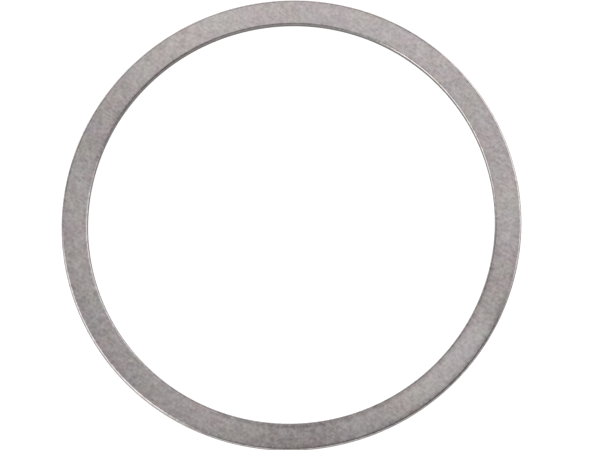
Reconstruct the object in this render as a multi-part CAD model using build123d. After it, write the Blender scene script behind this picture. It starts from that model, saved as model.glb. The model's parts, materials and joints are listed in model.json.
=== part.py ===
from build123d import *
import os

# A shim ring, the flat steel spacer that goes between the outer race of a ball bearing
# and the shoulder of its housing, to take up end play. It is pressed out of cold-rolled
# strip and tumbled, so both faces are flat and every corner of its section is rounded.
# It lies on the XY plane, centred on the Z axis, with +Z up. All lengths are millimetres.

# The rim drops into an 85 mm housing bore with a gap of 0.1 mm all round.
HOUSING_BORE = 85.0
RIM_CLEARANCE = 0.1

# How far the ring reaches in from its rim, which keeps it on the face of the outer race
# and leaves the hole clear of the shaft and the inner race. The hole is 75 mm across.
RACE_WIDTH = 4.9

# The thickness is what sets the end play, and the corner radius is what tumbling leaves.
THICKNESS = 1.5
CORNER_RADIUS = 0.5

# Tumbling never rounds away the whole wall, so a thin or narrow ring keeps a straight
# stretch at its rim, at its hole and across its faces.
LARGEST_ROUNDED_SHARE = 0.45


def ring_section(hole_radius, rim_radius):
    """The section on one side of the axis, a flat strip with four round corners."""
    width = rim_radius - hole_radius
    corner = min(CORNER_RADIUS, LARGEST_ROUNDED_SHARE * min(THICKNESS, width))
    with BuildSketch(Plane.XZ) as section:
        with Locations(((hole_radius + rim_radius) / 2, THICKNESS / 2)):
            RectangleRounded(width, THICKNESS, corner)
    return section.sketch


def shim_ring():
    """The whole ring, turned about the Z axis from its section."""
    rim_radius = HOUSING_BORE / 2 - RIM_CLEARANCE
    section = ring_section(rim_radius - RACE_WIDTH, rim_radius)
    return revolve(section, axis=Axis.Z)


os.makedirs("parts", exist_ok=True)
export_step(shim_ring(), "parts/shim_ring.step")
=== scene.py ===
import json
import math

import bpy
from mathutils import Matrix, Vector


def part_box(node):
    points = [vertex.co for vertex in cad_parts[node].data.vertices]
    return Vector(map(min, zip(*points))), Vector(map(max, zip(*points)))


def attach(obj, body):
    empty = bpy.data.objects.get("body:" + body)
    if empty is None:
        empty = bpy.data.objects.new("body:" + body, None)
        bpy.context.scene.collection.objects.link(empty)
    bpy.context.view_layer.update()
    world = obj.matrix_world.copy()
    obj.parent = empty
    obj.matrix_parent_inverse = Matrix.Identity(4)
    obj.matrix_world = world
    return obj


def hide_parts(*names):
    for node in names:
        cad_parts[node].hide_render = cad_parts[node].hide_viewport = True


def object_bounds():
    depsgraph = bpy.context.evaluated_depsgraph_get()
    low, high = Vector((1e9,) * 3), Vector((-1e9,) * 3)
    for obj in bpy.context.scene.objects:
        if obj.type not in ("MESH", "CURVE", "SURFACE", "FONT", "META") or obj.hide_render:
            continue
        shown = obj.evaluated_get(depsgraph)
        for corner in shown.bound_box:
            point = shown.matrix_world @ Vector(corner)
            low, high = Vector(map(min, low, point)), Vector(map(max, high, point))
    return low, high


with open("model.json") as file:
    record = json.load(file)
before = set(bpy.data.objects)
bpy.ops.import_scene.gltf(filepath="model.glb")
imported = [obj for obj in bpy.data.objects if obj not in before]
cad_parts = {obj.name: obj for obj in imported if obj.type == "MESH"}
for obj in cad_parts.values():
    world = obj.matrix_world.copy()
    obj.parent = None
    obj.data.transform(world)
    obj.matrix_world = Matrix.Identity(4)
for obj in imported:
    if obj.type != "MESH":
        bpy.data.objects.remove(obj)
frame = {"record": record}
cad_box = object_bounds()


# ---------------------------------------------------------------------------------------------
# The ring. One flat ring of bare steel, pressed out of cold-rolled strip and then tumbled, which
# rounds and burnishes every corner of its section and leaves the faces a mottled satin grey.
# It is spun here from the same section as the solid's, in steps fine enough to stay round close up.
# ---------------------------------------------------------------------------------------------
mounts = {mount["name"]: mount for mount in frame["record"]["mounts"]}
low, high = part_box("shim_ring")
hole_radius = mounts["hole"]["dims"]["r_mm"] / 1000
rim_radius = mounts["rim"]["dims"]["r_mm"] / 1000
thickness = high.z - low.z
middle_height = low.z + thickness / 2
middle_radius = (hole_radius + rim_radius) / 2
straight_wall = mounts["rim"]["dims"]["length_mm"] / 1000
corner_radius = (thickness - straight_wall) / 2

CORNER_SEGMENTS = 8
SPIN_STEPS = 360
MERGE_DISTANCE = 1e-6
SHARP_EDGE = math.radians(30)

bpy.ops.object.select_all(action="DESELECT")
bpy.ops.mesh.primitive_plane_add(
    size=1,
    location=(middle_radius, 0, middle_height),
    rotation=(math.radians(90), 0, 0),
)
ring = bpy.context.object
ring.name = "ring"
ring.scale = (rim_radius - hole_radius, thickness, 1)
bpy.ops.object.transform_apply()
bpy.ops.object.mode_set(mode="EDIT")
bpy.ops.mesh.bevel(offset=corner_radius, segments=CORNER_SEGMENTS, affect="VERTICES")
bpy.ops.mesh.delete(type="ONLY_FACE")
bpy.ops.mesh.select_all(action="SELECT")
bpy.ops.mesh.spin(steps=SPIN_STEPS, angle=math.tau, center=(0, 0, 0), axis=(0, 0, 1))
bpy.ops.mesh.select_all(action="SELECT")
bpy.ops.mesh.remove_doubles(threshold=MERGE_DISTANCE)
bpy.ops.mesh.normals_make_consistent(inside=False)
bpy.ops.object.mode_set(mode="OBJECT")
bpy.ops.object.shade_smooth_by_angle(angle=SHARP_EDGE)


def new_material(name):
    """An empty material, and its nodes and links."""
    material = bpy.data.materials.new(name)
    material.use_nodes = True
    material.node_tree.nodes.clear()
    return material, material.node_tree.nodes, material.node_tree.links


def fill(socket, value):
    """Links an input to a node's output, or sets it to a plain value."""
    if isinstance(value, bpy.types.NodeSocket):
        links.new(value, socket)
    else:
        socket.default_value = value


def add_node(kind, **inputs):
    """A node of the material in hand, whose inputs are given by name as values or sockets."""
    new = nodes.new(kind)
    for name, value in inputs.items():
        fill(new.inputs[name.replace("_", " ")], value)
    return new


def reckon(operation, *values):
    """What a Math node makes of one or two values."""
    new = nodes.new("ShaderNodeMath")
    new.operation = operation
    for socket, value in zip(new.inputs, values):
        fill(socket, value)
    return new.outputs[0]


def vector(operation, *values, scale=None):
    """What a Vector Math node makes of its inputs: a number for a length, or a vector."""
    new = nodes.new("ShaderNodeVectorMath")
    new.operation = operation
    for socket, value in zip(new.inputs, values):
        fill(socket, value)
    if scale is not None:
        fill(new.inputs["Scale"], scale)
    return new.outputs["Value" if operation in ("LENGTH", "DOT_PRODUCT") else "Vector"]


def fade(value, start, end):
    """0 at start and 1 at end, with a soft step between."""
    new = add_node("ShaderNodeMapRange", Value=value, From_Min=start, From_Max=end)
    new.interpolation_type = "SMOOTHSTEP"
    return new.outputs["Result"]


def blend_colour(factor, first, second):
    """The first colour where the factor is 0, and the second where it is 1."""
    new = nodes.new("ShaderNodeMix")
    new.data_type = "RGBA"
    fill(new.inputs["Factor"], factor)
    fill(new.inputs["A"], first)
    fill(new.inputs["B"], second)
    return new.outputs["Result"]


def blend_value(factor, first, second):
    """The first value where the factor is 0, and the second where it is 1."""
    return reckon("ADD", first, reckon("MULTIPLY", factor, reckon("SUBTRACT", second, first)))


def noise(where, cell, detail):
    """Soft random patches of about a cell's length, from 0 to 1, with finer detail in them."""
    return add_node("ShaderNodeTexNoise", Vector=where, Scale=1 / cell, Detail=detail).outputs["Fac"]


def swing(value, reach):
    """Turns a value from 0 to 1 into one that swings by the reach about 0."""
    return reckon("MULTIPLY", reckon("SUBTRACT", value, 0.5), reach)


steel, nodes, links = new_material("tumbled_steel")
output = nodes.new("ShaderNodeOutputMaterial")
surface = add_node("ShaderNodeBsdfPrincipled", Metallic=1.0)
links.new(surface.outputs["BSDF"], output.inputs["Surface"])

# Where a point lies on the section: how far in from the hole and from the rim, how far below
# or above the nearer face, and which way it lies from the axis.
place = nodes.new("ShaderNodeTexCoord").outputs["Object"]
x, y, z = add_node("ShaderNodeSeparateXYZ", Vector=place).outputs
level = add_node("ShaderNodeCombineXYZ", X=x, Y=y).outputs["Vector"]
outward = vector("NORMALIZE", level)
radius = vector("LENGTH", level)
at_rim = reckon("GREATER_THAN", radius, middle_radius)
from_hole = reckon("SUBTRACT", radius, hole_radius)
from_rim = reckon("SUBTRACT", rim_radius, radius)
from_wall = reckon("MINIMUM", from_hole, from_rim)
from_middle = reckon("ABSOLUTE", reckon("SUBTRACT", z, middle_height))
from_face = reckon("SUBTRACT", thickness / 2, from_middle)


def toward(bearing, spread):
    """1 on the side of the ring that a bearing points to, and 0 from the spread onwards."""
    angle = math.radians(bearing)
    heading = vector("DOT_PRODUCT", outward, (math.cos(angle), math.sin(angle), 0))
    return fade(heading, math.cos(math.radians(spread)), 1)


# The rounded corner is burnished, from just past the edge of the face outwards. The sheared
# wall, whose dark tone is partly painted shade, starts some way down the corner, lower at the rim
# than at the hole, and higher in two places on the rim, where painted shade climbs the corner:
# each is a bearing and a spread in degrees.
BURNISH_STARTS = 0.9 * corner_radius
BURNISH_IS_FULL = 0.69 * corner_radius
HOLE_WALL_STARTS = 0.28 * corner_radius
HOLE_WALL_IS_FULL = 0.6 * corner_radius
RIM_WALL_STARTS = 0.6 * corner_radius
RIM_WALL_IS_FULL = 1.0 * corner_radius
PAINTED_SHADE_RISE = 0.25 * corner_radius
PAINTED_SHADE_RIGHT = (348, 30)
PAINTED_SHADE_LEFT = (206, 28)
corner = fade(from_wall, BURNISH_STARTS, BURNISH_IS_FULL)
on_face = reckon("SUBTRACT", 1.0, corner)
# In these two places the dark wall tone climbs the rim's corner as painted shade.
painted_shade_rise = reckon("MULTIPLY", reckon("MAXIMUM", toward(*PAINTED_SHADE_RIGHT), toward(*PAINTED_SHADE_LEFT)), PAINTED_SHADE_RISE)
wall_starts = blend_value(at_rim, HOLE_WALL_STARTS, reckon("SUBTRACT", RIM_WALL_STARTS, painted_shade_rise))
wall_is_full = blend_value(at_rim, HOLE_WALL_IS_FULL, reckon("SUBTRACT", RIM_WALL_IS_FULL, painted_shade_rise))
wall = fade(from_face, wall_starts, wall_is_full)

# The stones of the tumbler leave a fine mottle, with larger and fainter clouds in it, and
# the straight lay of the rolled strip still shows through them.
MOTTLE_CELL = 0.00055
CLOUD_CELL = 0.0018
LAY_CELL = 0.0003
LAY_STRETCH = 8
ROLLED_ALONG = math.radians(145)
MIDDLE_TONE = 0.53
MOTTLE_SWING = 0.88
CLOUD_SWING = 0.30
LAY_SWING = 0.45
rolled = add_node(
    "ShaderNodeMapping", Vector=place, Rotation=(0, 0, ROLLED_ALONG), Scale=(LAY_STRETCH, 1, 1)
)
rolled.vector_type = "TEXTURE"
mottle = noise(place, MOTTLE_CELL, detail=2)
cloud = noise(place, CLOUD_CELL, detail=2)
lay = noise(rolled.outputs["Vector"], LAY_CELL, detail=1)
tone = reckon("ADD", MIDDLE_TONE, swing(mottle, MOTTLE_SWING))
tone = reckon("ADD", tone, swing(cloud, CLOUD_SWING))
tone = reckon("ADD", tone, swing(lay, LAY_SWING))

# Light and shade are painted into the tone. The face, the margins beside its two corners, and
# the corners themselves are brighter or darker toward some bearings, as painted light and shade.
# Each band fades in from its first distance to its second, and each line below is a band, a
# bearing and a spread in degrees, and a change of tone.
HOLE_MARGIN = 0.0008
RIM_MARGIN = 0.0009
hole_margin = fade(from_hole, corner_radius + HOLE_MARGIN, 0.5 * corner_radius)
rim_margin = fade(from_rim, corner_radius + RIM_MARGIN, 0.7 * corner_radius)
hole_corner = fade(from_hole, 1.2 * corner_radius, 0.8 * corner_radius)
rim_corner = fade(from_rim, 0.9 * corner_radius, 0.3 * corner_radius)
PAINTED_LIGHT_AND_SHADE = (
    (on_face, 316, 22, 0.17),
    (on_face, 152, 18, -0.13),
    (on_face, 273, 15, -0.15),
    (on_face, 342, 14, -0.09),
    (on_face, 30, 25, -0.08),
    (on_face, 112, 15, 0.07),
    (on_face, 240, 20, 0.07),
    (hole_margin, 150, 30, -0.12),
    (hole_margin, 200, 45, -0.14),
    (hole_margin, 295, 80, -0.32),
    (rim_margin, 314, 30, -0.30),
    (rim_margin, 345, 22, -0.12),
    (rim_margin, 240, 150, -0.05),
    (hole_corner, 85, 40, 0.12),
    (hole_corner, 138, 35, -0.22),
    (rim_corner, 100, 80, 0.50),
)
# Each change below paints light or shade into the tone toward its bearing.
for band, bearing, spread, change in PAINTED_LIGHT_AND_SHADE:
    painted_light_or_shade = reckon("MULTIPLY", toward(bearing, spread), band)
    tone = reckon("ADD", tone, reckon("MULTIPLY", painted_light_or_shade, change))

# The tone runs from dull to bright steel, and its hue shifts a little from place to place.
DULL = (0.20, 0.178, 0.177, 1)
BRIGHT = (0.60, 0.557, 0.554, 1)
HUE_CELL = 0.004
HUE_SWING = 0.18
hue = add_node("ShaderNodeTexNoise", Vector=place, Scale=1 / HUE_CELL, Detail=4, Roughness=0.6)
tint = vector("MULTIPLY_ADD", hue.outputs["Color"], (HUE_SWING,) * 3, (1 - HUE_SWING / 2,) * 3)
face_colour = vector("MULTIPLY", blend_colour(tone, DULL, BRIGHT), tint)

# The walls are sheared: a smooth land above, where the punch cut, and below it a break. Their
# dark tones are partly the dullness of sheared steel and partly painted shade; the break at the
# rim is bright as a painted reflection of the white table. Their ragged border lies about
# half-way down, and both carry fine upright scores.
HOLE_LAND_DULL_AND_SHADED = (0.16, 0.148, 0.144, 1)
HOLE_BREAK_DULL_AND_SHADED = (0.08, 0.074, 0.070, 1)
RIM_LAND_DULL_AND_SHADED = (0.14, 0.130, 0.126, 1)
RIM_BREAK_PAINTED_REFLECTION = (0.65, 0.62, 0.61, 1)
SCORE_CELL = 0.00018
SCORE_STRETCH = 10
RAGGED_EDGE = 0.3 * thickness
BREAK_ENDS = 0.4 * thickness
LAND_STARTS = 0.6 * thickness
RIM_LAND_IS_LOWER_BY = 0.18 * thickness
around_rim = vector("SCALE", outward, scale=rim_radius)
flattened = reckon("MULTIPLY", z, 1 / SCORE_STRETCH)
upright = add_node("ShaderNodeCombineXYZ", Z=flattened).outputs["Vector"]
scores = noise(vector("ADD", around_rim, upright), SCORE_CELL, detail=2)
edge_of_break = reckon("ADD", z, swing(scores, RAGGED_EDGE))
edge_of_break = reckon("ADD", edge_of_break, reckon("MULTIPLY", at_rim, RIM_LAND_IS_LOWER_BY))
land = fade(edge_of_break, BREAK_ENDS, LAND_STARTS)
# The walls' tones carry painted shade, and the break at the rim a painted reflection.
hole_wall_and_shade = blend_colour(land, HOLE_BREAK_DULL_AND_SHADED, HOLE_LAND_DULL_AND_SHADED)
rim_wall_shade_and_reflection = blend_colour(land, RIM_BREAK_PAINTED_REFLECTION, RIM_LAND_DULL_AND_SHADED)
wall_colour_and_shade = blend_colour(at_rim, hole_wall_and_shade, rim_wall_shade_and_reflection)
links.new(blend_colour(wall, face_colour, wall_colour_and_shade), surface.inputs["Base Color"])

# The corners are the smoothest and the sheared walls the roughest.
FACE_ROUGHNESS = 0.38
CORNER_ROUGHNESS = 0.22
WALL_ROUGHNESS = 0.5
ROUGHNESS_SWING = 0.15
rough = blend_value(corner, FACE_ROUGHNESS, CORNER_ROUGHNESS)
rough = reckon("ADD", rough, swing(mottle, ROUGHNESS_SWING))
links.new(blend_value(wall, rough, WALL_ROUGHNESS), surface.inputs["Roughness"])

# A grain on the faces and the scores on the walls stand a few thousandths of a millimetre proud.
GRAIN_CELL = 0.0003
GRAIN_HEIGHT = 0.000006
grain = noise(place, GRAIN_CELL, detail=2)
relief = blend_value(wall, grain, scores)
bump = add_node("ShaderNodeBump", Height=relief, Strength=1.0, Distance=GRAIN_HEIGHT)
links.new(bump.outputs["Normal"], surface.inputs["Normal"])

ring.data.materials.append(steel)
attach(ring, "root")
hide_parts("shim_ring")


# ---------------------------------------------------------------------------------------------
# The table. A round sheet of matt white card, a hair below the ring and curved up at its edge, so
# that it also stands behind the ring in a level view. It glows to the eye, in gloss and through
# glass, and can't be seen from below.
# ---------------------------------------------------------------------------------------------
HAIR = 0.00002
TABLE_RADIUS = 1.0
TABLE_SIDES = 128
SWEEP = 0.2
SWEEP_STEPS = 12
floor_z = cad_box[0][2] - HAIR

bpy.ops.object.select_all(action="DESELECT")
bpy.ops.mesh.primitive_circle_add(
    vertices=TABLE_SIDES, radius=TABLE_RADIUS + SWEEP, location=(0, 0, floor_z + SWEEP)
)
table = bpy.context.object
table.name = "table"
bpy.ops.object.transform_apply()
bpy.ops.object.mode_set(mode="EDIT")
reach = TABLE_RADIUS + SWEEP
height = SWEEP
for step in range(1, SWEEP_STEPS + 1):
    turn = math.radians(90) * step / SWEEP_STEPS
    next_reach = TABLE_RADIUS + SWEEP * math.cos(turn)
    next_height = SWEEP * (1 - math.sin(turn))
    down = (0, 0, next_height - height)
    bpy.ops.mesh.extrude_region_move(TRANSFORM_OT_translate={"value": down})
    shrink = next_reach / reach
    bpy.ops.transform.resize(value=(shrink, shrink, 1))
    reach = next_reach
    height = next_height
bpy.ops.mesh.edge_face_add()
bpy.ops.mesh.select_all(action="SELECT")
bpy.ops.mesh.normals_make_consistent(inside=True)
bpy.ops.object.mode_set(mode="OBJECT")
bpy.ops.object.shade_smooth_by_angle(angle=SHARP_EDGE)


def mix_shaders(factor, first, second):
    """The first shader where the factor is 0, and the second where it is 1."""
    new = nodes.new("ShaderNodeMixShader")
    for socket, value in zip(new.inputs, (factor, first, second)):
        fill(socket, value)
    return new.outputs["Shader"]


CARD_COLOUR = (0.5, 0.5, 0.5, 1)
CARD_GLOW = 0.8
card, nodes, links = new_material("white_card")
output = nodes.new("ShaderNodeOutputMaterial")
paper = add_node("ShaderNodeBsdfDiffuse", Color=CARD_COLOUR).outputs["BSDF"]
glow = add_node("ShaderNodeEmission", Strength=CARD_GLOW).outputs["Emission"]
glowing_paper = nodes.new("ShaderNodeAddShader")
links.new(paper, glowing_paper.inputs[0])
links.new(glow, glowing_paper.inputs[1])
path = nodes.new("ShaderNodeLightPath").outputs
seen = reckon("MAXIMUM", path["Is Camera Ray"], path["Is Glossy Ray"])
seen = reckon("MAXIMUM", seen, path["Is Transmission Ray"])
card_front = mix_shaders(seen, paper, glowing_paper.outputs["Shader"])
card_back = nodes.new("ShaderNodeBsdfTransparent").outputs["BSDF"]
from_behind = nodes.new("ShaderNodeNewGeometry").outputs["Backfacing"]
links.new(mix_shaders(from_behind, card_front, card_back), output.inputs["Surface"])
table.data.materials.append(card)


# ---------------------------------------------------------------------------------------------
# The lights. Soft rectangular lamps that all face the ring, in an even grey world. The key
# stands on the left and the fill on the right, and the lamps overhead light the faces.
# ---------------------------------------------------------------------------------------------
WORLD_GREY = 0.39
world = bpy.data.worlds.new("studio")
bpy.context.scene.world = world
world.use_nodes = True
world.node_tree.nodes["Background"].inputs["Color"].default_value = (WORLD_GREY,) * 3 + (1,)

# Each lamp has an azimuth and an elevation in degrees, a distance, width and height in metres,
# and a brightness, where 1 looks white.
LAMPS = (
    ("key", 200, 35, 0.60, 0.55, 0.46, 1.80),
    ("key_edge", 222, 35, 0.60, 0.13, 0.40, 0.90),
    ("fill", 26, 22, 0.60, 0.70, 0.36, 1.72),
    ("back", 115, 12, 0.60, 0.90, 0.24, 0.60),
    ("fill_upper", 15, 50, 0.60, 0.36, 0.20, 0.60),
    ("sky", 60, 80, 0.60, 0.60, 0.42, 0.24),
    ("top", 100, 60, 0.26, 0.20, 0.12, 0.76),
    ("top_right", 40, 72, 0.26, 0.16, 0.12, 0.45),
)
for name, azimuth, elevation, distance, width, height, brightness in LAMPS:
    lamp = bpy.data.lights.new(name, "AREA")
    lamp.shape = "RECTANGLE"
    lamp.size = width
    lamp.size_y = height
    lamp.energy = brightness * math.pi * width * height
    softbox = bpy.data.objects.new(name, lamp)
    softbox.visible_camera = False
    bpy.context.scene.collection.objects.link(softbox)
    around = math.radians(azimuth)
    above = math.radians(elevation)
    level_reach = math.cos(above)
    away = Vector((math.cos(around) * level_reach, math.sin(around) * level_reach, math.sin(above)))
    softbox.location = away * distance
    softbox.rotation_euler = away.to_track_quat("Z", "Y").to_euler()


# ---------------------------------------------------------------------------------------------
# The camera. It looks down on the ring through a long lens, from a place that leans to the front
# and a little to the right. It is rolled by the same turn, so that the picture's top is still the
# ring's back, and it aims a little off the ring's middle.
# ---------------------------------------------------------------------------------------------
SENSOR_WIDTH = 36
LENS = 210
TURN = math.radians(13.6)
TILT = math.radians(12.65)
DISTANCE = 15.2 * rim_radius
AIM_RIGHT = 0.04005 * rim_radius
AIM_DOWN = 0.01134 * rim_radius

camera = bpy.data.cameras.new("camera")
camera.sensor_width = SENSOR_WIDTH
camera.lens = LENS
eye = bpy.data.objects.new("camera", camera)
bpy.context.scene.collection.objects.link(eye)
bpy.context.scene.camera = eye
side = Vector((math.cos(TURN), math.sin(TURN), 0))
front = Vector((math.sin(TURN), -math.cos(TURN), 0))
back = front * math.sin(TILT) + Vector((0, 0, math.cos(TILT)))
rise = back.cross(side)
right = side * math.cos(TURN) - rise * math.sin(TURN)
up = side * math.sin(TURN) + rise * math.cos(TURN)
aim = Vector((0, 0, middle_height)) + right * AIM_RIGHT - up * AIM_DOWN
stand = Matrix((right, up, back)).transposed().to_4x4()
stand.translation = aim + back * DISTANCE
eye.matrix_world = stand

bpy.context.scene.view_settings.view_transform = "Standard"
